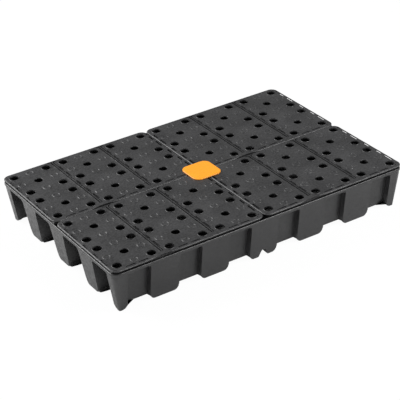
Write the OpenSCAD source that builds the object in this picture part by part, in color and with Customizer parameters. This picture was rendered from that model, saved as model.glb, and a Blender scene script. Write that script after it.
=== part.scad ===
// Low spill containment pallet: a moulded sump tray on short hollow feet, four
// lift-out deck tiles with drain holes, and one link plate pegged into all four tiles.
// Millimetres. +Z is up, X runs along the long side, and the floor is at z = 0.

/* [Pallet] */
// Length of the pallet along X
pallet_l = 1200; // [1190:2:1210]
// Width of the pallet along Y
pallet_w = 800; // [790:2:810]
// Height of the deck above the floor
deck_h = 170; // [165:1:185]

/* [Tray] */
// How far the walls lean in between the deck and the floor
wall_lean = 25; // [20:1:28]
// Thickness of the tray's floor and walls
tray_t = 4; // [3:0.5:5]
// Height of the channels between the feet
channel_h = 13; // [10:1:15]
// Height of the band around the tray's top edge
lip_h = 9.5; // [8:0.5:12]
// Depth of the bays moulded into the walls between the feet
bay_depth = 22; // [18:1:26]
// Width of a wall bay on the long sides
bay_w = 88; // [80:1:92]
// Width of a wall bay on the short sides
end_bay_w = 100; // [94:1:102]
// Depth of the bays on the short sides
end_bay_depth = 60; // [40:1:64]

/* [Deck tiles] */
// Thickness of the top skin
skin_t = 4; // [3.5:0.5:5]
// Corner radius of a tile
tile_r = 27; // [20:1:30]
// Gap between neighbouring tiles
tile_gap = 2; // [1:0.5:3]
// Diameter of the four drain holes near the corners of a cell
drain_d = 32; // [28:1:34]
// Diameter of the drain hole in the middle of a cell
centre_drain_d = 29; // [24:1:30]
// Distance between neighbouring hole positions in a cell
drain_pitch = 65; // [62:1:66]
// Diameter of the raised non-slip rings
ring_d = 28; // [24:1:30]

/* [Link plate] */
// Side length of the square link plate
plate_w = 114; // [108:1:118]
// Height of the link plate above the deck
plate_h = 5; // [4:0.5:6]
// Clearance between a peg and its drain hole, on the radius
peg_gap = 0.5; // [0.4:0.1:1]

/* [Hidden] */

cell = 200;                            // a cell of the deck, and the spacing of the feet
eps = 0.01;                            // a small overlap, so that cuts go right through
clear = 0.3;                           // air between parts that rest on each other

lip_top = deck_h - 12.5;               // the tray's top edge, below the tiles' rims
lip_base = lip_top - lip_h;
rest_h = 151;                          // where the tiles' ribs rest inside the tray
lip_r = 30;                            // corner radius of the tray's band
lip_t = 6;                             // thickness of the band
foot_r = 14;                           // corner radius of a foot, seen from below
foot_w = cell - bay_w;                 // width of a foot where the wall bays begin
foot_flat = 76;                        // width of a foot's flat sole
column_r = 32;                         // radius of a support column at the floor
column_top_r = 24;                     // and at its top
end_bay_flare = 14;                    // how much a short side's bay widens towards the floor
notch_w = 40;                          // arch under the middle foot of a long side
notch_h = 26;
bay_top = lip_base - 2;                // top of a wall bay at the outside

tile_l = pallet_l / 2 - tile_gap;
tile_w = pallet_w / 2 - tile_gap;
rim_t = 3;                             // thickness of the overhanging edge of a tile
rim_w = 13;                            // how far that edge stands out past the skirt at the sides
front_rim_w = 8;                       // and at the front and the rear
rib_t = 3;                             // thickness of the ribs and the skirt
rib_offset = 35;                       // ribs run this far either side of a cell's middle
slot_in = 9.5;                         // middle of the side slots, measured from the tile's edge
slot_w = 7;
field_slot_in = 9;                     // middle of a field's slots, measured from the grooves' middle
narrow_slot_w = 4;
front_slot_in = 14;                    // middle of the front slots, measured from the front edge
groove_w = 3;                          // one of the two grooves between fields
groove_pitch = 7;                      // distance between those two grooves
groove_depth = 2.5;
field_end = 24;                        // where a groove stops, measured from the front edge
finger_w = 52;                         // hand slot under a tile's front edge
scallop = 5;                           // how far its top edge is cut back
peg_len = 16;
plate_r = 27;

drain_r = drain_d / 2;
ring_h = 1.5;
collar_w = 2.4;                        // raised collar round the outer drain holes of a cell
collar_h = 1.2;

// A rectangle with rounded corners, centred on the origin
module rounded(l, w, r) {
    union() {
        square([l - 2 * r, w], center = true);
        square([l, w - 2 * r], center = true);
        for (x = [-1, 1]) {
            for (y = [-1, 1]) {
                translate([x * (l / 2 - r), y * (w / 2 - r)]) circle(r = r, $fn = 32);
            }
        }
    }
}

// The same outline with k straight pieces to a corner, for tapered shapes
module rounded_fine(l, w, r, k = 4) {
    points = [
        for (c = [[1, 1, 0], [-1, 1, 90], [-1, -1, 180], [1, -1, 270]])
            for (i = [0:k])
                [
                    c[0] * (l / 2 - r) + r * cos(c[2] + 90 * i / k),
                    c[1] * (w / 2 - r) + r * sin(c[2] + 90 * i / k)
                ]
    ];
    polygon(points);
}

// ---- tray ----

// How far the outside of the wall has leaned in at height z
function lean(z) = wall_lean * (1 - z / deck_h);

// A solid with leaning walls, set in by inset all round, from z0 to z1
module leaning_block(inset, z0, z1, r) {
    l0 = pallet_l - 2 * (lean(z0) + inset);
    w0 = pallet_w - 2 * (lean(z0) + inset);
    l1 = pallet_l - 2 * (lean(z1) + inset);
    w1 = pallet_w - 2 * (lean(z1) + inset);
    translate([0, 0, z0])
        linear_extrude(height = z1 - z0, scale = [l1 / l0, w1 / w0], slices = 1)
            rounded_fine(l0, w0, r);
}

// One foot from its sole up: three flared courses, then straight to the height top
module foot(top, shrink) {
    courses = [[0, foot_flat], [3, 96], [channel_h, 108], [26, foot_w]];
    k = shrink > 0 ? 1 : 2;
    for (i = [0:len(courses) - 2]) {
        low = courses[i][1] - 2 * shrink;
        high = courses[i + 1][1] - 2 * shrink;
        if (courses[i][0] < top)
            translate([0, 0, courses[i][0] + shrink])
                linear_extrude(height = courses[i + 1][0] - courses[i][0], scale = high / low, slices = 1)
                    rounded_fine(low, low, foot_r, k);
    }
}

// A wall bay: a block with sloping sides and top that goes in past the wall by its depth.
// Its left and right sides may also spread by a flare towards the floor.
module bay(width, depth_in, left_flare, right_flare, grow) {
    w = width + 2 * grow;
    h = bay_top + grow;
    depth = depth_in + grow;
    side_slope = 12;
    top_slope = 12;
    translate([0, lean(0), 0])
        rotate([90 + atan(wall_lean / deck_h), 0, 0])
            mirror([0, 0, 1])
                linear_extrude(height = depth, scale = [(w - side_slope) / w, (h - top_slope) / h], slices = 1)
                    polygon([[-w / 2 - left_flare, 0], [w / 2 + right_flare, 0], [w / 2, h], [-w / 2, h]]);
}

// Every wall bay of the tray
module bays(grow) {
    for (side = [0, 1]) {
        for (i = [-2.5:1:2.5]) {
            rotate([0, 0, 180 * side])
                translate([cell * i, -pallet_w / 2, 0])
                    bay(bay_w, bay_depth, 0, 0, grow);
        }
        for (i = [-1.5:1:1.5]) {
            rotate([0, 0, 90 + 180 * side])
                translate([cell * i, -pallet_l / 2, 0])
                    bay(
                        end_bay_w,
                        end_bay_depth,
                        i > -1.5 ? end_bay_flare : 0,
                        i < 1.5 ? end_bay_flare : 0,
                        grow
                    );
        }
    }
}

// Feet on every crossing of the cells; those inside the tray end at the channels
module feet(shrink) {
    for (i = [-3:3]) {
        for (j = [-2:2]) {
            inside = abs(i) < 3 && abs(j) < 2;
            translate([cell * i, cell * j, 0]) foot(inside ? channel_h : 26, shrink);
        }
    }
    // the feet between the bays of the short sides are longer along X
    for (side = [-1, 1]) {
        for (j = [-1:1]) {
            translate([side * (3 * cell - end_bay_depth), cell * j, 0]) foot(channel_h, shrink);
        }
    }
}

// Arch in the sole of the middle foot on both long sides
module notches(grow) {
    for (side = [0, 1]) {
        rotate([0, 0, 180 * side])
            translate([0, -pallet_w / 2 - eps, -eps])
                rotate([-90, 0, 0])
                    mirror([0, 1, 0])
                        linear_extrude(height = 70 + grow)
                            polygon([
                                [-notch_w / 2 - grow, 0],
                                [notch_w / 2 + grow, 0],
                                [notch_w / 4 + grow, notch_h + grow],
                                [-notch_w / 4 - grow, notch_h + grow]
                            ]);
    }
}

// The hollow columns that carry the deck, in five rows of four
module column_places() {
    for (i = [-2:2]) {
        for (j = [-1.5:1:1.5]) {
            translate([cell * i, cell * j, 0]) children();
        }
    }
}

module sump_tray() {
    color([0.14, 0.14, 0.145]) difference() {
        union() {
            difference() {
                intersection() {
                    leaning_block(0, 0, lip_base + eps, 14);
                    union() {
                        translate([0, 0, channel_h + 70])
                            cube([pallet_l, pallet_w, 140], center = true);
                        feet(0);
                    }
                }
                bays(0);
                notches(0);
                difference() {
                    union() {
                        leaning_block(tray_t, channel_h + tray_t, lip_base + 1, 12);
                        intersection() {
                            leaning_block(tray_t, tray_t, 31, 12);
                            feet(tray_t);
                        }
                    }
                    bays(tray_t);
                    notches(tray_t);
                }
            }
            translate([0, 0, lip_base]) linear_extrude(height = lip_h) difference() {
                rounded(pallet_l - 1, pallet_w - 1, lip_r);
                rounded(pallet_l - 2 * lip_t, pallet_w - 2 * lip_t, lip_r - lip_t);
            }
            translate([0, 0, lip_base - 2]) linear_extrude(height = 4) difference() {
                rounded(pallet_l - 1, pallet_w - 1, lip_r);
                rounded(pallet_l - 2 * lip_t - 3, pallet_w - 2 * lip_t - 3, lip_r - lip_t);
            }
            column_places()
                translate([0, 0, channel_h])
                    cylinder(h = rest_h - clear - channel_h, r1 = column_r, r2 = column_top_r, $fn = 48);
        }
        column_places()
            translate([0, 0, channel_h - eps])
                cylinder(
                    h = rest_h - clear - channel_h - tray_t,
                    r1 = column_r - tray_t,
                    r2 = column_top_r - tray_t,
                    $fn = 48
                );
    }
}

// ---- deck tiles ----

// Places of the six cells of one tile, measured from the tile's middle
module cell_places() {
    for (x = [-cell, 0, cell]) {
        for (y = [-cell / 2, cell / 2]) {
            translate([x, y, 0]) children();
        }
    }
}

// The four corner holes and the middle hole of a cell
module cell_holes() {
    for (x = [-1, 1]) {
        for (y = [-1, 1]) {
            translate([x * drain_pitch, y * drain_pitch, deck_h - 20]) {
                cylinder(h = 40, r = drain_r, $fn = 48);
            }
        }
    }
    translate([0, 0, deck_h - 20]) cylinder(h = 40, d = centre_drain_d, $fn = 48);
    translate([0, 0, deck_h - 1.5])
        cylinder(h = 1.5 + eps, d1 = centre_drain_d, d2 = centre_drain_d + 3, $fn = 48);
}

// The raised collars round the four outer holes of a cell
module cell_collars() {
    for (x = [-1, 1]) {
        for (y = [-1, 1]) {
            translate([x * drain_pitch, y * drain_pitch, deck_h - eps])
                cylinder(h = collar_h, r = drain_r + collar_w, $fn = 48);
        }
    }
}

// The four raised rings of a cell
module cell_rings() {
    for (p = [[1, 0], [-1, 0], [0, 1], [0, -1]]) {
        translate([p[0] * drain_pitch, p[1] * drain_pitch, deck_h - eps]) difference() {
            cylinder(h = ring_h, d = ring_d, $fn = 48);
            translate([0, 0, -1]) cylinder(h = 4, d = ring_d - 6, $fn = 48);
        }
    }
}

// One through slot along Y: x and y are its middle, w its width and l its length
module slot(x, y, w, l) {
    translate([x - w / 2, y - l / 2, deck_h - 10]) cube([w, l, 20]);
}

// The row of slots that runs along one side of a field, between the holes
module slot_row(x, w) {
    for (cell_mid = [-cell / 2, cell / 2]) {
        slot(x, cell_mid + 29, w, 30);
        slot(x, cell_mid - 25, w, 42);
    }
    slot(x, -1, w, 30);
}

// The two slots in front of each cell along the tile's front edge
module front_slots() {
    for (cell_mid = [-cell, 0, cell]) {
        for (x = [-27, 22]) {
            slot(cell_mid + x, front_slot_in - tile_w / 2, 36, narrow_slot_w);
        }
    }
}

// The double groove between two fields, open at the rear edge
module field_groove() {
    for (s = [-1, 1]) {
        translate([s * groove_pitch / 2 - groove_w / 2, field_end - tile_w / 2, deck_h - groove_depth])
            cube([groove_w, tile_w, 10]);
    }
    translate([0, tile_w / 2 + 4, deck_h - groove_depth]) cylinder(h = 10, r = 15, $fn = 4);
}

// Ribs under the skin, in both directions, with the skirt around them
module tile_ribs() {
    skirt_l = tile_l - 2 * rim_w;
    skirt_w = tile_w - 2 * front_rim_w;
    translate([0, 0, rest_h]) linear_extrude(height = deck_h - rest_h - 2) difference() {
        rounded(skirt_l, skirt_w, tile_r - rim_w);
        rounded(skirt_l - 2 * rib_t, skirt_w - 2 * rib_t, tile_r - rim_w - rib_t);
    }
    rib_h = deck_h - rest_h - 2;
    for (x = [-cell, 0, cell]) {
        for (s = [-rib_offset, rib_offset]) {
            translate([x + s - rib_t / 2, -skirt_w / 2 + 1, rest_h]) cube([rib_t, skirt_w - 2, rib_h]);
        }
    }
    for (x = [-cell / 2, cell / 2]) {
        translate([x - rib_t / 2, -skirt_w / 2 + 1, rest_h]) cube([rib_t, skirt_w - 2, rib_h]);
    }
    for (y = [-cell / 2 - rib_offset, -cell / 2 + rib_offset, cell / 2 - rib_offset, cell / 2 + rib_offset]) {
        translate([-skirt_l / 2 + 1, y - rib_t / 2, rest_h]) cube([skirt_l - 2, rib_t, rib_h]);
    }
}

// Hand slot: a shallow scallop in the front edge, with the rim and skirt cut away below it
module finger_slot() {
    translate([-cell / 2 - finger_w / 2, -tile_w / 2 - 1, rest_h - 1])
        cube([finger_w, front_rim_w + rib_t + 2, deck_h - rest_h - 1.5]);
    translate([-cell / 2 - finger_w / 2, -tile_w / 2 - 1, rest_h])
        cube([finger_w, 1 + scallop, deck_h]);
}

module deck_tile(side_x, side_y) {
    translate([side_x * pallet_l / 4, side_y * pallet_w / 4, 0]) difference() {
        union() {
            translate([0, 0, deck_h - rim_t]) linear_extrude(height = rim_t) rounded(tile_l, tile_w, tile_r);
            translate([0, 0, deck_h - skin_t])
                linear_extrude(height = skin_t - 1)
                    rounded(tile_l - 2 * rim_w, tile_w - 2 * front_rim_w, tile_r - rim_w);
            tile_ribs();
            cell_places() {
                cell_rings();
                cell_collars();
            }
        }
        cell_places() cell_holes();
        for (x = [-cell / 2, cell / 2]) {
            translate([x, 0, 0]) field_groove();
        }
        slot_row(-tile_l / 2 + slot_in, slot_w);
        slot_row(tile_l / 2 - slot_in, slot_w);
        slot_row(-cell / 2 + field_slot_in, narrow_slot_w);
        slot_row(cell / 2 + field_slot_in, narrow_slot_w);
        front_slots();
        finger_slot();
    }
}

module deck_tile_front_left() {
    color([0.2, 0.2, 0.205]) deck_tile(-1, -1);
}

module deck_tile_front_right() {
    color([0.2, 0.2, 0.205]) deck_tile(1, -1);
}

module deck_tile_rear_left() {
    color([0.2, 0.2, 0.205]) deck_tile(-1, 1);
}

module deck_tile_rear_right() {
    color([0.2, 0.2, 0.205]) deck_tile(1, 1);
}

// ---- link plate ----

// The bevelled top of the plate: a cone on each corner and a crossing pair of bars
module plate_bevel(h) {
    half = plate_w / 2;
    inner = plate_w - 2 * plate_r;
    for (x = [-inner / 2, inner / 2]) {
        for (y = [-inner / 2, inner / 2]) {
            translate([x, y, 0]) cylinder(h = h, r1 = plate_r, r2 = plate_r - h, $fn = 48);
        }
    }
    for (turn = [0, 90]) {
        rotate([90, 0, turn])
            linear_extrude(height = inner, center = true)
                polygon([[-half, 0], [half, 0], [half - h, h], [h - half, h]]);
    }
}

// Square plate with a bevelled edge and a peg in the innermost hole of each tile
module link_plate() {
    bevel = 2;
    peg_at = cell / 2 - drain_pitch;
    base = deck_h + collar_h + clear;
    straight_h = plate_h - bevel - collar_h;
    color([1, 0.6, 0.1]) union() {
        translate([0, 0, base])
            linear_extrude(height = straight_h)
                rounded(plate_w, plate_w, plate_r);
        translate([0, 0, base + straight_h]) plate_bevel(bevel - clear);
        for (x = [-peg_at, peg_at]) {
            for (y = [-peg_at, peg_at]) {
                translate([x, y, base - peg_len])
                    cylinder(h = peg_len + 1, r = drain_r - peg_gap, $fn = 48);
            }
        }
    }
}

sump_tray();
deck_tile_front_left();
deck_tile_front_right();
deck_tile_rear_left();
deck_tile_rear_right();
link_plate();
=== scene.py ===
import math

import bpy
from mathutils import Matrix, Vector


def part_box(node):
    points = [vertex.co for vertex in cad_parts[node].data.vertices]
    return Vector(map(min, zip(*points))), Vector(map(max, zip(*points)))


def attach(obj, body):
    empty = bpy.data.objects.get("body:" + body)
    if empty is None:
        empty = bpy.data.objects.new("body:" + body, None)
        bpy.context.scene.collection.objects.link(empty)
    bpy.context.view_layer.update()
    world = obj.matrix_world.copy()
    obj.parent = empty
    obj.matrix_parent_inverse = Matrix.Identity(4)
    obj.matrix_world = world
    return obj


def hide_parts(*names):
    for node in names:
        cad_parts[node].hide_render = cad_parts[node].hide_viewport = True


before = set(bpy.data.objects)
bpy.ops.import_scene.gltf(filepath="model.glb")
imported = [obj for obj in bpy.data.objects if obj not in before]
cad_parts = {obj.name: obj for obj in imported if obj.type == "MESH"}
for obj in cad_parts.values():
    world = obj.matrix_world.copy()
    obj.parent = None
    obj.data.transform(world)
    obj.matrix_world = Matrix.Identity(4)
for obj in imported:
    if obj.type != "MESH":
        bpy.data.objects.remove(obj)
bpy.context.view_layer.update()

# ---------------------------------------------------------------- sizes, in millimetres
MM = 0.001
CELL = 200.0                       # side of one deck cell, and the spacing of the feet

tray_low, tray_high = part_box("sump_tray")
tile_low, tile_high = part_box("deck_tile_front_left")
plate_low, plate_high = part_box("link_plate")

HALF_L = 600.0                     # half the pallet's length at the deck
HALF_W = 400.0                     # and half its width
RING_H = 1.5                       # height of the raised non-slip rings
DECK_H = tile_high.z / MM - RING_H
LIP_TOP = tray_high.z / MM
LIP_H = 9.5                        # height of the band round the tray's top edge
LIP_BASE = LIP_TOP - LIP_H
REST_H = tile_low.z / MM           # underside of the tiles' ribs
CLEAR = 0.3                        # air over the columns and over the deck's flat top
TILE_HALF_L = (tile_high.x - tile_low.x) / MM / 2
TILE_HALF_W = (tile_high.y - tile_low.y) / MM / 2


def smooth(t):
    """0 below 0, 1 above 1, and an even curve between."""
    t = min(1.0, max(0.0, t))
    return t * t * (3 - 2 * t)


# ---------------------------------------------------------------- mesh building
class Shape:
    """Collects faces by their corner points, joins equal points, and becomes one object."""

    def __init__(self):
        self.points = []
        self.faces = []
        self.index = {}

    def point(self, p):
        key = (round(p[0], 3), round(p[1], 3), round(p[2], 3))
        if key not in self.index:
            self.index[key] = len(self.points)
            self.points.append(key)
        return self.index[key]

    def face(self, *corners):
        numbers = []
        for corner in corners:
            number = self.point(corner)
            if number not in numbers:
                numbers.append(number)
        if len(numbers) > 2:
            self.faces.append(numbers)

    def strip(self, lower, upper, closed=True):
        """Faces between two rows with the same number of points."""
        count = len(lower)
        for i in range(count if closed else count - 1):
            j = (i + 1) % count
            self.face(lower[i], lower[j], upper[j], upper[i])

    def rows(self, rows, closed=True):
        for lower, upper in zip(rows[:-1], rows[1:]):
            self.strip(lower, upper, closed)

    def box(self, low, high):
        x0, y0, z0 = low
        x1, y1, z1 = high
        bottom = [(x0, y0, z0), (x1, y0, z0), (x1, y1, z0), (x0, y1, z0)]
        top = [(x, y, z1) for x, y, z in bottom]
        self.face(*reversed(bottom))
        self.face(*top)
        self.strip(bottom, top)

    def bridge(self, outer, inner, centre):
        """Fills the flat area between two loops round one centre that have different numbers of points."""
        def turn(p):
            return math.atan2(p[1] - centre[1], p[0] - centre[0]) % (2 * math.pi)

        outer = sorted(outer, key=turn)
        inner = sorted(inner, key=turn)
        i = j = 0
        while i < len(outer) or j < len(inner):
            a0, a1 = outer[i % len(outer)], outer[(i + 1) % len(outer)]
            b0, b1 = inner[j % len(inner)], inner[(j + 1) % len(inner)]
            next_outer = turn(a1) + (2 * math.pi if i + 1 >= len(outer) else 0)
            next_inner = turn(b1) + (2 * math.pi if j + 1 >= len(inner) else 0)
            if j >= len(inner) or (i < len(outer) and next_outer <= next_inner):
                self.face(a0, a1, b0)
                i += 1
            else:
                self.face(b0, a0, b1)
                j += 1

    def make(self, name, material, body, slot, node, bevel=0.0, at=(0, 0, 0), angle=35):
        mesh = bpy.data.meshes.new(name)
        mesh.from_pydata([(x * MM, y * MM, z * MM) for x, y, z in self.points], [], self.faces)
        mesh.validate()
        mesh.polygons.foreach_set("use_smooth", [True] * len(mesh.polygons))
        mesh.materials.append(material)
        return place(name, mesh, body, node, bevel, at, angle)


def place(name, mesh, body, node, bevel=0.0, at=(0, 0, 0), angle=35):
    """Adds one piece of a body: rounded by bevel, and creased where it bends by more than angle."""
    piece = bpy.data.objects.new(name, mesh)
    bpy.context.scene.collection.objects.link(piece)
    piece.location = Vector(at) * MM
    if bevel:
        rounding = piece.modifiers.new("edges", "BEVEL")
        rounding.width = bevel * MM
        rounding.segments = 2
        rounding.limit_method = "ANGLE"
        rounding.angle_limit = math.radians(50)
    split = piece.modifiers.new("crease", "EDGE_SPLIT")
    split.split_angle = math.radians(angle)
    split.use_edge_sharp = False
    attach(piece, body)
    if node:
        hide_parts(node)
    return piece


def circle(cx, cy, r, z, count=32):
    return [
        (cx + r * math.cos(2 * math.pi * i / count), cy + r * math.sin(2 * math.pi * i / count), z)
        for i in range(count)
    ]


def rounded_loop(half_l, half_w, r, z, steps=8):
    """A rectangle with round corners, as one loop of points."""
    loop = []
    for corner, (sx, sy) in enumerate([(1, 1), (-1, 1), (-1, -1), (1, -1)]):
        for i in range(steps + 1):
            angle = math.pi / 2 * (corner + i / steps)
            loop.append((
                sx * (half_l - r) + r * math.cos(angle),
                sy * (half_w - r) + r * math.sin(angle),
                z,
            ))
    return loop


# ---------------------------------------------------------------- materials
# The scales are noise waves per metre.
CLOUD_SCALE = 9                    # broad clouds in the colour
SPECK_SCALE = 160                  # fine specks in it
GLOSS_SCALE = 70                   # uneven gloss
GRAIN_SCALE = 75                   # grain of the surface
GLOSS_SPREAD = 0.1                 # how far the roughness goes to both sides of its middle value


def plastic(name, dark, light, roughness, grain):
    """Moulded polyethylene: cloudy colour with fine specks, a satin grain and slightly uneven gloss."""
    material = bpy.data.materials.new(name)
    material.use_nodes = True
    nodes = material.node_tree.nodes
    links = material.node_tree.links
    shader = nodes["Principled BSDF"]
    coordinates = nodes.new("ShaderNodeTexCoord")

    def noise(scale, detail):
        node = nodes.new("ShaderNodeTexNoise")
        node.inputs["Scale"].default_value = scale
        node.inputs["Detail"].default_value = detail
        links.new(coordinates.outputs["Object"], node.inputs["Vector"])
        return node

    cloud = noise(CLOUD_SCALE, 6)
    specks = noise(SPECK_SCALE, 3)
    both = nodes.new("ShaderNodeMix")
    both.inputs["Factor"].default_value = 0.55
    links.new(cloud.outputs["Fac"], both.inputs["A"])
    links.new(specks.outputs["Fac"], both.inputs["B"])
    colours = nodes.new("ShaderNodeValToRGB")
    colours.color_ramp.elements[0].position = 0.36
    colours.color_ramp.elements[0].color = (*dark, 1)
    colours.color_ramp.elements[1].position = 0.64
    colours.color_ramp.elements[1].color = (*light, 1)
    links.new(both.outputs["Result"], colours.inputs["Fac"])
    links.new(colours.outputs["Color"], shader.inputs["Base Color"])

    gloss = noise(GLOSS_SCALE, 4)
    spread = nodes.new("ShaderNodeMapRange")
    spread.inputs["From Min"].default_value = 0.3
    spread.inputs["From Max"].default_value = 0.7
    spread.inputs["To Min"].default_value = roughness - GLOSS_SPREAD
    spread.inputs["To Max"].default_value = roughness + GLOSS_SPREAD
    links.new(gloss.outputs["Fac"], spread.inputs["Value"])
    links.new(spread.outputs["Result"], shader.inputs["Roughness"])

    waves = noise(GRAIN_SCALE, 4)
    bump = nodes.new("ShaderNodeBump")
    bump.inputs["Strength"].default_value = grain
    bump.inputs["Distance"].default_value = 0.001
    links.new(waves.outputs["Fac"], bump.inputs["Height"])
    links.new(bump.outputs["Normal"], shader.inputs["Normal"])
    shader.inputs["IOR"].default_value = 1.5
    return material


deck_plastic = plastic("deck_plastic", (0.004, 0.004, 0.0045), (0.03, 0.03, 0.031), 0.46, 2.2)
tray_plastic = plastic("tray_plastic", (0.012, 0.012, 0.0125), (0.02, 0.02, 0.0205), 0.38, 0.15)
link_plastic = plastic("link_plastic", (0.66, 0.235, 0.004), (0.74, 0.275, 0.006), 0.4, 0.08)

# ---------------------------------------------------------------- deck tiles
# A tile is drawn with its middle at (0, 0) and its top at height 0.
SKIN = 4.0
PITCH = 65.0                       # from a cell's middle to its outer holes
PATCH = 18.5                       # half the square round a hole or ring
DRAIN_R = 16.6
CENTRE_DRAIN_R = 15.5
RING_R = 14.0
GROOVE_DEPTH = 3.3
GROOVE_W = 4.0
RIDGE = 0.9                        # how far the ridge between two grooves stands up
GROOVE_START = -TILE_HALF_W + 24
GROOVE_GAP = 2.0                   # from a field's edge to its nearest groove
FRAME_IN = 15.0                    # width of the tile's border, with the slots in it
RIM_IN = 5.2                       # width of the rounded rim outside the slots
TILE_R = 27.0
CELL_X = (-CELL, 0.0, CELL)
CELL_Y = (-CELL / 2, CELL / 2)
SPOTS = (-PITCH, 0.0, PITCH)
FIELD_R = 14.5                     # a field's corner radius at the rear edge
SLOT_DIP = 7.0                     # how far the front edge goes in at the hand slot
SLOT_HALF = 33.0                   # half the hand slot's width, its soft ends included
SLOT_END = 9.0                     # length of one soft end
EDGE_SLOT_W = 7.3                  # width of the slots along the tile's short edges
FIELD_SLOT = (7.0, 11.0)           # where the slots beside a field's edge begin and end
FRONT_SLOT = (4.0, 9.0)            # the same for the slots along the front, from the rim inwards
GRID_GAP = 0.05                    # grid lines closer than this become one
NEAR = 0.01                        # tolerance when points are compared
ARC_STEPS = 8

inner_x = TILE_HALF_L - FRAME_IN
inner_y = TILE_HALF_W - FRAME_IN
strip_x = TILE_HALF_L - RIM_IN
strip_y = TILE_HALF_W - RIM_IN
corner_x = TILE_HALF_L - TILE_R
corner_y = TILE_HALF_W - TILE_R

# slots: (x from, x to, y from, y to)
slots = []
slot_ys = [(-16.0, 14.0)]
for mid in CELL_Y:
    slot_ys.append((mid + 14, mid + 44))
    slot_ys.append((mid - 46, mid - 4))
for low, high in slot_ys:
    slots.append((-strip_x, -strip_x + EDGE_SLOT_W, low, high))
    slots.append((strip_x - EDGE_SLOT_W, strip_x, low, high))
    for field in (-CELL / 2, CELL / 2):
        slots.append((field + FIELD_SLOT[0], field + FIELD_SLOT[1], low, high))
for mid in CELL_X:
    for low, high in ((mid - 45, mid - 9), (mid + 4, mid + 40)):
        slots.append((low, high, -strip_y + FRONT_SLOT[0], -strip_y + FRONT_SLOT[1]))

groove_end = strip_y - FIELD_R
grooves = []
ridges = []
curved_ends = []
for field in (-CELL / 2, CELL / 2):
    ridges.append((field - GROOVE_GAP, field + GROOVE_GAP, GROOVE_START, strip_y))
    for side in (-1, 1):
        near = field + side * GROOVE_GAP
        mid = field + side * (GROOVE_GAP + GROOVE_W / 2)
        far = field + side * (GROOVE_GAP + FIELD_R)
        grooves.append((mid - GROOVE_W / 2, mid + GROOVE_W / 2, GROOVE_START, groove_end))
        curved_ends.append((min(near, far), max(near, far), groove_end, strip_y))

squares = []
for cx in CELL_X:
    for cy in CELL_Y:
        for dx in SPOTS:
            for dy in SPOTS:
                kind = "ring"
                if dx and dy:
                    kind = "drain"
                elif not dx and not dy:
                    kind = "centre"
                squares.append((cx + dx, cy + dy, kind))


def within(x, y, areas):
    return any(a[0] < x < a[1] and a[2] < y < a[3] for a in areas)


xs = {-inner_x, inner_x, -corner_x, corner_x, -strip_x, strip_x}
ys = {-inner_y, inner_y, -corner_y, corner_y, -strip_y, strip_y, GROOVE_START}
for cx, cy, kind in squares:
    xs.update((cx - PATCH, cx + PATCH))
    ys.update((cy - PATCH, cy + PATCH))
for area in slots + grooves + ridges + curved_ends:
    xs.update(area[:2])
    ys.update(area[2:])
xs = sorted(round(v, 3) for v in xs)
ys = sorted(round(v, 3) for v in ys)
xs = [v for i, v in enumerate(xs) if not i or v - xs[i - 1] > GRID_GAP]
ys = [v for i, v in enumerate(ys) if not i or v - ys[i - 1] > GRID_GAP]
square_areas = [(x - PATCH, x + PATCH, y - PATCH, y + PATCH) for x, y, kind in squares]


def tile_level(x, y):
    """Height of the tile's top at a point, or None where something else is drawn."""
    ax, ay = abs(x), abs(y)
    if ax > strip_x or ay > strip_y:
        return None
    if ax > inner_x and ay > corner_y or ay > inner_y and ax > corner_x:
        return None
    if within(x, y, slots) or within(x, y, square_areas) or within(x, y, curved_ends):
        return None
    if within(x, y, ridges):
        return RIDGE
    if within(x, y, grooves):
        return -GROOVE_DEPTH
    return 0.0


def square_loop(x, y, z):
    """The outline of the square round a hole, with a point at every grid line."""
    low_x, high_x, low_y, high_y = x - PATCH, x + PATCH, y - PATCH, y + PATCH
    loop = []
    for v in xs:
        if low_x - NEAR <= v <= high_x + NEAR:
            loop.append((v, low_y, z))
            loop.append((v, high_y, z))
    for v in ys:
        if low_y + NEAR < v < high_y - NEAR:
            loop.append((low_x, v, z))
            loop.append((high_x, v, z))
    return loop


def hole(tile, x, y, r, collar):
    """A drain hole. An outer hole of a cell has a raised collar, a middle one only a rounded edge."""
    if collar:
        profile = [
            (r + 2.4, 0), (r + 2.0, 0.5), (r + 1.5, 1.0), (r + 0.9, 1.2),
            (r + 0.4, 1.0), (r + 0.1, 0.5), (r, -0.4), (r, -SKIN),
        ]
    else:
        profile = [(r + 1.6, 0), (r + 0.9, -0.1), (r + 0.4, -0.5), (r + 0.1, -1.0), (r, -1.6), (r, -SKIN)]
    loops = [circle(x, y, pr, pz) for pr, pz in profile]
    tile.bridge(square_loop(x, y, 0), loops[0], (x, y))
    tile.rows(loops)
    tile.bridge(square_loop(x, y, -SKIN), loops[-1], (x, y))


def ring(tile, x, y):
    """A raised non-slip ring, with the flat disc inside it."""
    r = RING_R
    profile = [
        (r + 1.6, 0), (r + 1.0, 0.35), (r + 0.2, 1.0), (r - 0.6, 1.4), (r - 1.4, RING_H),
        (r - 2.2, 1.4), (r - 3.0, 1.0), (r - 3.8, 0.35), (r - 4.4, 0), (r - 9, 0),
    ]
    loops = [circle(x, y, pr, pz) for pr, pz in profile]
    tile.bridge(square_loop(x, y, 0), loops[0], (x, y))
    tile.rows(loops)
    tile.face(*loops[-1])
    tile.face(*square_loop_ordered(x, y))


def square_loop_ordered(x, y):
    """The outline of a square under the skin, in order round its middle."""
    loop = square_loop(x, y, -SKIN)
    return sorted(loop, key=lambda p: -math.atan2(p[1] - y, p[0] - x))


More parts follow.
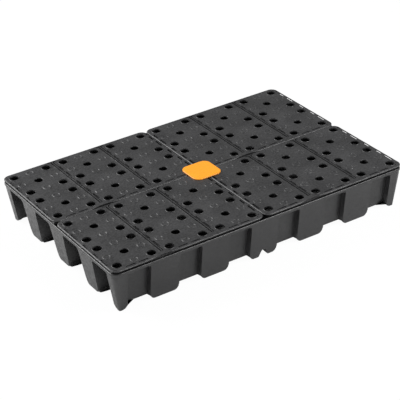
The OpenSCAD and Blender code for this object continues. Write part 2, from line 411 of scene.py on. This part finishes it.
def grid(tile):
    """The flat areas of the tile's top and bottom, with walls at slots and grooves."""
    levels = {}
    for i in range(len(xs) - 1):
        for j in range(len(ys) - 1):
            mid_x = (xs[i] + xs[i + 1]) / 2
            mid_y = (ys[j] + ys[j + 1]) / 2
            level = tile_level(mid_x, mid_y)
            levels[i, j] = level
            if level is None:
                continue
            x0, x1, y0, y1 = xs[i], xs[i + 1], ys[j], ys[j + 1]
            tile.face((x0, y0, level), (x1, y0, level), (x1, y1, level), (x0, y1, level))
            tile.face((x0, y1, -SKIN), (x1, y1, -SKIN), (x1, y0, -SKIN), (x0, y0, -SKIN))
    for (i, j), level in levels.items():
        mid_x = (xs[i] + xs[i + 1]) / 2
        mid_y = (ys[j] + ys[j + 1]) / 2
        in_slot = within(mid_x, mid_y, slots)
        if level is None and not in_slot:
            continue
        here = -SKIN if in_slot else level
        x0, x1, y0, y1 = xs[i], xs[i + 1], ys[j], ys[j + 1]
        sides = (
            ((i - 1, j), (x0, y0), (x0, y1)),
            ((i + 1, j), (x1, y1), (x1, y0)),
            ((i, j - 1), (x1, y0), (x0, y0)),
            ((i, j + 1), (x0, y1), (x1, y1)),
        )
        for key, a, b in sides:
            there = levels.get(key)
            if there is None:
                next_x = (xs[key[0]] + xs[key[0] + 1]) / 2 if 0 <= key[0] < len(xs) - 1 else 1e9
                next_y = (ys[key[1]] + ys[key[1] + 1]) / 2 if 0 <= key[1] < len(ys) - 1 else 1e9
                there = here if within(next_x, next_y, slots) else 0.0
            if there > here:
                tile.face((*b, here), (*a, here), (*a, there), (*b, there))


def curved_end(tile, area, side):
    """Where a groove curves away along the rear edge: side is 1 if it curves towards +X."""
    near_x, far_x = (area[0], area[1]) if side > 0 else (area[1], area[0])
    inner_r = FIELD_R - GROOVE_W
    arcs = []
    for r in (FIELD_R, inner_r):
        arc = []
        for i in range(ARC_STEPS + 1):
            angle = math.pi / 2 * i / ARC_STEPS
            arc.append((far_x - side * r * math.cos(angle), groove_end + r * math.sin(angle)))
        arcs.append(arc)
    outer, inner = arcs
    edge = [(x, groove_end) for x in xs if NEAR < side * (far_x - x) < inner_r - NEAR]
    edge = sorted(edge, key=lambda p: side * -p[0])
    tile.face(*[(*p, 0) for p in [(far_x, groove_end)] + edge + inner])
    for i in range(ARC_STEPS):
        tile.face((near_x, strip_y, 0), (*outer[i], 0), (*outer[i + 1], 0))
        tile.face(*[(*p, -GROOVE_DEPTH) for p in (outer[i], inner[i], inner[i + 1], outer[i + 1])])
        for arc in arcs:
            tile.face((*arc[i], 0), (*arc[i + 1], 0), (*arc[i + 1], -GROOVE_DEPTH), (*arc[i], -GROOVE_DEPTH))
    tile.face((*outer[-1], 0), (*inner[-1], 0), (*inner[-1], -GROOVE_DEPTH), (*outer[-1], -GROOVE_DEPTH))
    x0, x1, y0, y1 = area
    tile.face((x0, y1, -SKIN), (x1, y1, -SKIN), (x1, y0, -SKIN), (x0, y0, -SKIN))


def corner_fans(tile):
    """The flat corners between the border strips and the round rim, top and bottom."""
    r = TILE_R - RIM_IN
    for sx in (-1, 1):
        for sy in (-1, 1):
            arc = [(inner_x, corner_y)]
            for i in range(ARC_STEPS + 1):
                angle = math.pi / 2 * i / ARC_STEPS
                arc.append((corner_x + r * math.cos(angle), corner_y + r * math.sin(angle)))
            arc.append((corner_x, inner_y))
            for a, b in zip(arc[:-1], arc[1:]):
                for z in (0, -SKIN):
                    tile.face(
                        (sx * inner_x, sy * inner_y, z),
                        (sx * a[0], sy * a[1], z),
                        (sx * b[0], sy * b[1], z),
                    )


def rim_loop(inset, z):
    """One loop of the tile's edge. The front edge dips in a little at the hand slot."""
    loop = []
    r = TILE_R - inset
    for number, (sx, sy) in enumerate([(1, 1), (-1, 1), (-1, -1), (1, -1)]):
        for i in range(ARC_STEPS + 1):
            angle = math.pi / 2 * (number + i / ARC_STEPS)
            loop.append((sx * corner_x + r * math.cos(angle), sy * corner_y + r * math.sin(angle), z))
        if number == 0:
            side = [(x, TILE_HALF_W - inset, z) for x in reversed(xs) if abs(x) < corner_x - 0.1]
        elif number == 1:
            side = [(-TILE_HALF_L + inset, y, z) for y in reversed(ys) if abs(y) < corner_y - 0.1]
        elif number == 2:
            side = []
            for x in xs:
                if abs(x) < corner_x - 0.1:
                    share = smooth((SLOT_HALF - abs(x + CELL / 2)) / SLOT_END)
                    dip = share * SLOT_DIP * (1 - 0.7 * inset / RIM_IN)
                    side.append((x, -TILE_HALF_W + inset + dip, z))
        else:
            side = [(TILE_HALF_L - inset, y, z) for y in ys if abs(y) < corner_y - 0.1]
        loop.extend(side)
    return loop


def build_tile():
    """The tile's skin: its flat areas, holes, rings, grooves, corners and rounded rim."""
    tile = Shape()
    grid(tile)
    for x, y, kind in squares:
        if kind == "ring":
            ring(tile, x, y)
        else:
            hole(tile, x, y, DRAIN_R if kind == "drain" else CENTRE_DRAIN_R, kind == "drain")
    for number, area in enumerate(curved_ends):
        curved_end(tile, area, 1 if number % 2 else -1)
    corner_fans(tile)
    profile = [
        (RIM_IN, 0), (4.6, 0), (3.6, -0.2), (2.5, -0.6), (1.5, -1.2), (0.7, -2.0), (0.2, -2.9),
        (0, -3.7), (0.2, -4.3), (0.8, -4.5), (1.6, -4.3), (RIM_IN - 0.6, -2.8), (RIM_IN, -2.8),
        (RIM_IN, -SKIN),
    ]
    tile.rows([rim_loop(inset, z) for inset, z in profile])
    return tile


def build_ribs():
    """Skirt and crossing ribs under the skin."""
    ribs = Shape()
    low = REST_H - DECK_H
    top = 0.5 - SKIN                 # a little inside the skin
    skirt_l = TILE_HALF_L - 13
    skirt_w = TILE_HALF_W - 8
    outer_r = 14
    rib = 3.0
    rib_at = 35                      # from a cell's middle
    loops = [
        rounded_loop(skirt_l, skirt_w, outer_r, top),
        rounded_loop(skirt_l, skirt_w, outer_r, low + 0.5),
        rounded_loop(skirt_l - 0.5, skirt_w - 0.5, outer_r - 0.5, low),
        rounded_loop(skirt_l - rib + 0.5, skirt_w - rib + 0.5, outer_r - rib + 0.5, low),
        rounded_loop(skirt_l - rib, skirt_w - rib, outer_r - rib, low + 0.5),
        rounded_loop(skirt_l - rib, skirt_w - rib, outer_r - rib, top),
    ]
    ribs.rows(loops)
    lines_x = [cx + s for cx in CELL_X for s in (-rib_at, rib_at)] + [-CELL / 2, CELL / 2]
    for x in lines_x:
        ribs.box((x - rib / 2, -skirt_w + 1, low), (x + rib / 2, skirt_w - 1, top))
    for y in [cy + s for cy in CELL_Y for s in (-rib_at, rib_at)]:
        ribs.box((-skirt_l + 1, y - rib / 2, low), (skirt_l - 1, y + rib / 2, top))
    return ribs


TILE_BEVEL = 0.6
tile_shape = build_tile()
rib_shape = build_ribs()
tile_mesh = None
rib_mesh = None
for node, body in (
    ("deck_tile_front_left", "tile_front_left"),
    ("deck_tile_front_right", "tile_front_right"),
    ("deck_tile_rear_left", "tile_rear_left"),
    ("deck_tile_rear_right", "tile_rear_right"),
):
    low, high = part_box(node)
    middle = ((low.x + high.x) / 2 / MM, (low.y + high.y) / 2 / MM, DECK_H)
    if tile_mesh is None:
        skin = tile_shape.make(node + "_skin", deck_plastic, body, "deck_plastic", node, TILE_BEVEL, middle)
        under = rib_shape.make(node + "_ribs", deck_plastic, body, "deck_plastic", node, 0, middle)
        tile_mesh, rib_mesh = skin.data, under.data
    else:
        place(node + "_skin", tile_mesh, body, node, TILE_BEVEL, middle)
        place(node + "_ribs", rib_mesh, body, node, 0, middle)

# ---------------------------------------------------------------- sump tray
LEAN = 25.0                        # how far the walls lean in at the floor
CHANNEL_H = 13.0                   # height of the underside between the feet
BAY_DEPTH = 20.0                   # how far a bay of a long side goes in
END_BAY_DEPTH = 60.0               # and one of a short side
BAY_SIDE = 4.5                     # run of a bay's sloping side
BAY_ROOF = 12.0                    # height of its sloping top
BAY_GAP = 2.0                      # from there up to the band
SHORT_TOP = 48.0                   # half a foot's width on the short sides, just under the band
SHORT_LOW = 37.0                   # and at the floor
FOOT_HALF = 56.0                   # half a foot's width above its rounded bottom
SOLE_HALF = 38.0                   # half the width of its flat sole
CORNER_SOLE_HALF = 44.0            # the same for the corner feet, which have straight sides
FOOT_R = 8.0                       # corner radius of a sole
FOOT_BACK = 60.0                   # how far in the round inner end of a short side's feet is centred
FOOT_ROUND_H = 26.0                # height over which a foot's sides round out
FOOT_BLEND = 14.0                  # height over which a narrow foot widens just under the band
ARCH_H = 26.0
ARCH_FLAT = 5.0                    # half the arch's width at its top
ARCH_SLOPE = 16.0                  # and the run of each side
ARCH_REACH = 30.0                  # the arch is looked for this far to both sides
ARCH_IN = 330.0                    # it begins this far from the middle along Y
ARCH_START = 12.0                  # and takes this long to reach its full height
WALL_T = 4.0
TOP_R = 27.0                       # corner radius of the wall under the band
BAND_R = 30.0                      # and of the band's outline
LOW_R = 5.0                        # least corner radius of the wall
FILLET = 1.8                       # between the wall and the underside
EDGE = 545.0                       # last grid line of a long side, before the round corner
EDGE_W = EDGE - (HALF_L - HALF_W)  # the same for a short side, and where the bottom's grid ends along Y
BORDER_X = 490.0                   # where the bottom's grid ends along X, further in than the end bays
COLUMN_SQUARE = 34.0               # half the square round a column
CORNER_PARTS = (0.33, 0.66)        # extra points between a side's grid and its round corner
CORNER_POINTS = 2 * len(CORNER_PARTS) + ARC_STEPS + 1
# distances of the grid lines from the middle of a foot
OFFSETS = (0, 20, 34, 38, 43, 48, 52, 54, 56, 57.5, 59, 60.5, 62, 64, 68, 80, 90, 100)


def lean(z):
    return LEAN * (1 - z / DECK_H)


def grid_lines(limit, fine_middle):
    """Grid lines between -limit and limit, closest together at the sides of the feet."""
    values = set()
    for number in range(-3, 4):
        for offset in OFFSETS:
            for sign in (-1, 1):
                value = number * CELL + sign * offset
                if abs(value) <= limit + NEAR:
                    values.add(float(value))
    values.update((-limit, limit))
    if fine_middle:
        for value in (4, 8, 11, 14, 17, 24):
            values.update((-float(value), float(value)))
    return sorted(values)


def foot_rise(d, sole_half):
    """Height of a foot's rounded side at d beyond its flat sole."""
    reach = FOOT_HALF - sole_half
    if d <= 0:
        return 0.0
    if sole_half == CORNER_SOLE_HALF:
        return min(CHANNEL_H, CHANNEL_H * d / reach)
    return min(CHANNEL_H, FOOT_ROUND_H * (1 - math.sqrt(max(0.0, 1 - (d / reach) ** 2))))


def arch(x):
    """Height of the arch under the middle foot of a long side."""
    return ARCH_H * (1 - smooth((abs(x) - ARCH_FLAT) / ARCH_SLOPE))


def underside(x, y, inside):
    """Height of the tray's underside, or of its floor where inside is the wall's thickness."""
    gx = min(HALF_L, abs(x)) % CELL
    gy = min(HALF_W, abs(y)) % CELL
    dx = min(gx, CELL - gx)
    dy = min(gy, CELL - gy)
    sole_half = SOLE_HALF
    if abs(x) > HALF_L - CELL / 2:
        if abs(y) > HALF_W - CELL / 2:
            sole_half = CORNER_SOLE_HALF
        else:
            dx = max(0.0, HALF_L - FOOT_BACK - abs(x))
    flat = sole_half - inside - FOOT_R
    d = math.hypot(max(dx - flat, 0), max(dy - flat, 0)) - FOOT_R
    z = foot_rise(d, sole_half)
    if abs(x) < ARCH_REACH and abs(y) > ARCH_IN:
        z = max(z, arch(x) * smooth((abs(y) - ARCH_IN) / ARCH_START))
    return z + inside


def wall_inset(along, z, long_side, inside):
    """How far the wall stands in from the pallet's outline, bays included."""
    d = abs(along) % CELL
    d = min(d, CELL - d)
    half_along = HALF_L if long_side else HALF_W
    half = FOOT_HALF - inside
    if abs(along) > half_along - CELL / 2:
        level = max(0.0, min(1.0, z / CHANNEL_H))
        half = CORNER_SOLE_HALF - inside + (FOOT_HALF - CORNER_SOLE_HALF) * level
    elif z < FOOT_ROUND_H:
        level = max(0.0, min(1.0, 1 - z / FOOT_ROUND_H))
        half = SOLE_HALF - inside + (FOOT_HALF - SOLE_HALF) * math.sqrt(1 - level ** 2)
    side = smooth((d - half) / BAY_SIDE)
    top = smooth((LIP_BASE - BAY_GAP + inside * 0.4 - z) / BAY_ROOF)
    depth = BAY_DEPTH if long_side else END_BAY_DEPTH
    return lean(z) + inside + depth * side * top


def narrowed(u, z):
    """A place along a short side, moved so that its middle feet are narrower, most of all at the floor."""
    centre = CELL * round(u / CELL)
    d = abs(u - centre)
    if abs(centre) > HALF_W - 1:
        return u
    half = SHORT_LOW + (SHORT_TOP - SHORT_LOW) * z / LIP_BASE
    if z > LIP_BASE - FOOT_BLEND:
        half += (FOOT_HALF - half) * smooth((z - LIP_BASE + FOOT_BLEND) / FOOT_BLEND)
    if d <= FOOT_HALF:
        moved = d * half / FOOT_HALF
    else:
        moved = CELL / 2 - (CELL / 2 - d) * (CELL / 2 - half) / (CELL / 2 - FOOT_HALF)
    return centre + math.copysign(moved, u - centre)


def perimeter(inset_at, height_at, radius):
    """One loop of points round the tray. inset_at and height_at are functions of a place on a side."""
    loop = []
    sides = (
        (0, x_lines, HALF_L, HALF_W),
        (1, y_lines, HALF_W, HALF_L),
        (2, x_lines, HALF_L, HALF_W),
        (3, y_lines, HALF_W, HALF_L),
    )
    for number, lines, half_along, half_across in sides:
        turn = number * math.pi / 2
        cos_t, sin_t = round(math.cos(turn)), round(math.sin(turn))
        long_side = number % 2 == 0

        def put(u, v, z):
            loop.append((u * cos_t - v * sin_t, u * sin_t + v * cos_t, z))

        for u in lines:
            z = height_at(u, long_side)
            shown = u if long_side else narrowed(u, z)
            put(shown, -(half_across - inset_at(u, z, long_side)), z)
        limit = lines[-1]
        other_limit = half_across - (half_along - limit)
        corner_inset = inset_at(half_along, height_at(half_along, long_side), long_side)
        centre_u = half_along - corner_inset - radius
        centre_v = -(half_across - corner_inset - radius)
        for part in CORNER_PARTS:
            u = limit + (centre_u - limit) * part
            z = height_at(u, long_side)
            first = limit if long_side else narrowed(limit, z)
            put(first + (centre_u - first) * part, -(half_across - inset_at(u, z, long_side)), z)
        for i in range(ARC_STEPS + 1):
            angle = -math.pi / 2 + math.pi / 2 * i / ARC_STEPS
            z = height_at(half_along, long_side)
            put(centre_u + radius * math.cos(angle), centre_v + radius * math.sin(angle), z)
        for part in reversed(CORNER_PARTS):
            v = other_limit - (centre_v + other_limit) * part
            z = height_at(v, not long_side)
            first = narrowed(other_limit, z) if long_side else other_limit
            put(half_along - inset_at(v, z, not long_side), (centre_v + first) * part - first, z)
    return loop


x_lines = grid_lines(EDGE, True)
y_lines = grid_lines(EDGE_W, False)


def low_edge(u, long_side, inside):
    """Height at which the wall meets the underside, at u along a side."""
    if long_side:
        return underside(u, HALF_W, inside)
    return underside(HALF_L, u, inside)


def wall_rows(inside):
    """The rows of the wall from just under the band down to the underside."""
    # shares of the way down, closest together at the tops of the bays and at the rounded feet
    parts = (
        0, 0.008, 0.02, 0.04, 0.06, 0.08, 0.1, 0.13, 0.25, 0.4,
        0.55, 0.68, 0.78, 0.84, 0.88, 0.92, 0.95, 0.975, 1,
    )
    top = LIP_BASE - 0.5
    rows = []
    for part in parts:
        # the corner gets sharper just under the band, and then evenly towards the floor
        radius = TOP_R - 4 * smooth(part * 10) - 18 * part

        def height(u, long_side, part=part):
            low = low_edge(u, long_side, inside) + FILLET
            return top + (low - top) * part

        def inset(u, z, long_side):
            return wall_inset(u, z, long_side, inside)

        rows.append(perimeter(inset, height, max(LOW_R, radius - inside)))
    for angle in (30, 60, 90):
        sin_a = math.sin(math.radians(angle))
        cos_a = math.cos(math.radians(angle))

        def height(u, long_side, sin_a=sin_a):
            return low_edge(u, long_side, inside) + FILLET * (1 - sin_a)

        def inset(u, z, long_side, cos_a=cos_a):
            return wall_inset(u, z, long_side, inside) + FILLET * (1 - cos_a)

        rows.append(perimeter(inset, height, LOW_R))
    return rows


def bottom_sheet(tray, edge, inside):
    """The underside or the floor, from the foot of the wall inwards, and the columns in it."""
    clamped = [max(-BORDER_X, min(BORDER_X, u)) for u in x_lines]
    border = [(u, -EDGE_W) for u in clamped]
    border += [(BORDER_X, -EDGE_W)] * CORNER_POINTS
    border += [(BORDER_X, v) for v in y_lines]
    border += [(BORDER_X, EDGE_W)] * CORNER_POINTS
    border += [(u, EDGE_W) for u in reversed(clamped)]
    border += [(-BORDER_X, EDGE_W)] * CORNER_POINTS
    border += [(-BORDER_X, v) for v in reversed(y_lines)]
    border += [(-BORDER_X, -EDGE_W)] * CORNER_POINTS
    rows = [edge]
    for part in (0.08, 0.16, 0.26, 0.36, 0.48, 0.6, 0.72, 0.82, 0.91, 1.0):
        row = []
        for outer, inner in zip(edge, border):
            x = outer[0] + (inner[0] - outer[0]) * part
            y = outer[1] + (inner[1] - outer[1]) * part
            row.append((x, y, underside(x, y, inside)))
        rows.append(row)
    tray.rows(rows)
    inner_lines = [x for x in x_lines if abs(x) <= BORDER_X]
    for x0, x1 in zip(inner_lines[:-1], inner_lines[1:]):
        for y0, y1 in zip(y_lines[:-1], y_lines[1:]):
            if not at_column((x0 + x1) / 2, (y0 + y1) / 2):
                corners = ((x0, y0), (x1, y0), (x1, y1), (x0, y1))
                tray.face(*[(x, y, underside(x, y, inside)) for x, y in corners])
    for cx, cy in columns:
        column(tray, cx, cy, inside)


columns = [(i * CELL, j * CELL) for i in range(-2, 3) for j in (-1.5, -0.5, 0.5, 1.5)]


def at_column(x, y):
    return any(abs(x - cx) < COLUMN_SQUARE and abs(y - cy) < COLUMN_SQUARE for cx, cy in columns)


def column(tray, cx, cy, inside):
    """A hollow column that holds up the deck: its outside over the floor, or its inside under it."""
    foot = CHANNEL_H + inside
    top = REST_H - CLEAR - (0 if inside else WALL_T)
    if inside:
        profile = [
            (33.6, foot), (32.4, foot + 1.2), (31.7, foot + 4), (31.0, foot + 13),
            (24.4, top - 1.9), (23.7, top - 0.5), (22.6, top), (0.01, top),
        ]
    else:
        profile = [
            (29.6, foot), (28.4, foot + 1.2), (27.7, foot + 4),
            (20.7, top - 1.2), (19.6, top), (0.01, top),
        ]
    loop = []
    for x in x_lines:
        if abs(x - cx) <= COLUMN_SQUARE + NEAR:
            loop += [(x, cy - COLUMN_SQUARE), (x, cy + COLUMN_SQUARE)]
    for y in y_lines:
        if abs(y - cy) < COLUMN_SQUARE - NEAR:
            loop += [(cx - COLUMN_SQUARE, y), (cx + COLUMN_SQUARE, y)]
    loop = [(x, y, underside(x, y, inside)) for x, y in loop]
    loops = [circle(cx, cy, r, z) for r, z in profile]
    tray.bridge(loop, loops[0], (cx, cy))
    tray.rows(loops)


def build_tray():
    """The tray as one thin shell: outer wall, band, inner wall, underside, floor and columns."""
    tray = Shape()
    outer = wall_rows(0.0)
    inner = wall_rows(WALL_T)
    band = [
        (2.6, LIP_BASE - 0.2), (1.0, LIP_BASE), (0.6, LIP_BASE + 0.5), (0.5, LIP_BASE + 1.5),
        (0.5, LIP_TOP - 3.2), (0.75, LIP_TOP - 2.0), (1.5, LIP_TOP - 0.9), (2.6, LIP_TOP - 0.2),
        (3.6, LIP_TOP), (5.0, LIP_TOP), (5.8, LIP_TOP - 0.4), (6.3, LIP_TOP - 1.5), (7.0, LIP_BASE + 1),
    ]
    rows = []
    for inset, z in band:
        rows.append(perimeter(lambda u, h, side, i=inset: i, lambda u, side, h=z: h, BAND_R - inset))
    tray.rows(list(reversed(outer)) + rows + inner)
    bottom_sheet(tray, outer[-1], 0.0)
    bottom_sheet(tray, inner[-1], WALL_T)
    return tray


build_tray().make("sump_tray_shell", tray_plastic, "tray", "tray_plastic", "sump_tray", 0, (0, 0, 0), 40)


# ---------------------------------------------------------------- link plate
PLATE_R = 27.0
PLATE_LEAST_R = 4.0                # least corner radius of the loops on its faces
PEG_R = 15.3
PEG_TIP_R = 13.5


def build_plate():
    """The square plate with soft edges, and a peg for the innermost hole of every tile."""
    plate = Shape()
    half = (plate_high.x - plate_low.x) / MM / 2
    # The collars of the four holes under the plate stand higher than its underside and reach into it.
    base = DECK_H + CLEAR
    top = plate_high.z / MM
    profile = [
        (10, base), (0.4, base), (0, base + 0.4), (0, top - 2.4), (0.25, top - 1.7), (0.9, top - 1.0),
        (2.0, top - 0.5), (3.6, top - 0.2), (6.5, top - 0.05), (20, top),
    ]
    loops = []
    for inset, z in profile:
        loops.append(rounded_loop(half - inset, half - inset, max(PLATE_LEAST_R, PLATE_R - inset), z))
    plate.rows(loops)
    plate.face(*loops[-1])
    plate.face(*reversed(loops[0]))
    peg = CELL / 2 - PITCH
    low = plate_low.z / MM
    peg_profile = [(0.01, low), (PEG_TIP_R, low), (PEG_R, low + 2), (PEG_R, base + 0.2)]
    for x in (-peg, peg):
        for y in (-peg, peg):
            plate.rows([circle(x, y, r, z) for r, z in peg_profile])
    return plate


build_plate().make("link_plate_body", link_plastic, "plate", "link_plastic", "link_plate")


# ---------------------------------------------------------------- floor, light and camera
FLOOR = 30.0                       # half the floor's width, in metres
FLOOR_WHITE = 0.96                 # share of plain white in the floor as the camera sees it
SKY = 0.38                         # strength of the even light from all round


def seen_white(tree, shader, output, share):
    """Makes a surface nearly white to the eye only, so that it doesn't overlight the object."""
    path = tree.nodes.new("ShaderNodeLightPath")
    amount = tree.nodes.new("ShaderNodeMath")
    amount.operation = "MULTIPLY"
    amount.inputs[1].default_value = share
    white = tree.nodes.new("ShaderNodeEmission")
    mixed = tree.nodes.new("ShaderNodeMixShader")
    tree.links.new(path.outputs["Is Camera Ray"], amount.inputs[0])
    tree.links.new(amount.outputs["Value"], mixed.inputs["Fac"])
    tree.links.new(shader.outputs[0], mixed.inputs[1])
    tree.links.new(white.outputs["Emission"], mixed.inputs[2])
    tree.links.new(mixed.outputs["Shader"], output.inputs["Surface"])


floor_material = bpy.data.materials.new("floor")
floor_material.use_nodes = True
floor_tree = floor_material.node_tree
floor_shader = floor_tree.nodes["Principled BSDF"]
floor_shader.inputs["Base Color"].default_value = (0.8, 0.8, 0.8, 1)
floor_shader.inputs["Roughness"].default_value = 0.9
floor_shader.inputs["Specular IOR Level"].default_value = 0.1
seen_white(floor_tree, floor_shader, floor_tree.nodes["Material Output"], FLOOR_WHITE)
floor_mesh = bpy.data.meshes.new("floor")
floor_mesh.from_pydata(
    [(-FLOOR, -FLOOR, 0), (FLOOR, -FLOOR, 0), (FLOOR, FLOOR, 0), (-FLOOR, FLOOR, 0)], [], [(0, 1, 2, 3)]
)
floor_mesh.materials.append(floor_material)
floor = bpy.data.objects.new("floor", floor_mesh)
bpy.context.scene.collection.objects.link(floor)

world = bpy.data.worlds.new("studio")
world.use_nodes = True
sky = world.node_tree.nodes["Background"]
sky.inputs["Color"].default_value = (1, 1, 1, 1)
sky.inputs["Strength"].default_value = SKY
bpy.context.scene.world = world


def lamp(name, place_at, size, power):
    """A rectangular lamp that points at the middle of the floor. Metres and watts."""
    data = bpy.data.lights.new(name, "AREA")
    data.shape = "RECTANGLE"
    data.size, data.size_y = size
    data.energy = power
    lamp_object = bpy.data.objects.new(name, data)
    bpy.context.scene.collection.objects.link(lamp_object)
    lamp_object.location = place_at
    lamp_object.rotation_euler = (-Vector(place_at)).to_track_quat("-Z", "Y").to_euler()


lamp("left", (-2.37, 2.82, 2.58), (3.0, 2.2), 270)
lamp("front", (1.83, -1.99, 2.95), (1.8, 1.2), 150)

TURN = math.radians(-31.77)        # where the camera stands, round the object
LIFT = math.radians(29.79)         # and how high, above the horizon
ROLL = math.radians(-2.82)
DISTANCE = 5.206                   # in metres, from the place it looks at
LENS = 135.54
aim = Vector((-0.119, -0.172, DECK_H * MM))
back = Vector((
    math.sin(TURN) * math.cos(LIFT),
    -math.cos(TURN) * math.cos(LIFT),
    math.sin(LIFT),
))
right = Vector((0, 0, 1)).cross(back).normalized()
up = back.cross(right)
tilted_right = right * math.cos(ROLL) + up * math.sin(ROLL)
tilted_up = up * math.cos(ROLL) - right * math.sin(ROLL)
turn = Matrix((tilted_right, tilted_up, back)).transposed().to_4x4()
camera_data = bpy.data.cameras.new("camera")
camera_data.lens = LENS
camera_data.sensor_width = 36
camera_data.clip_end = 100
camera = bpy.data.objects.new("camera", camera_data)
camera.matrix_world = Matrix.Translation(aim + back * DISTANCE) @ turn
bpy.context.scene.collection.objects.link(camera)
bpy.context.scene.camera = camera

scene = bpy.context.scene
scene.view_settings.view_transform = "Standard"
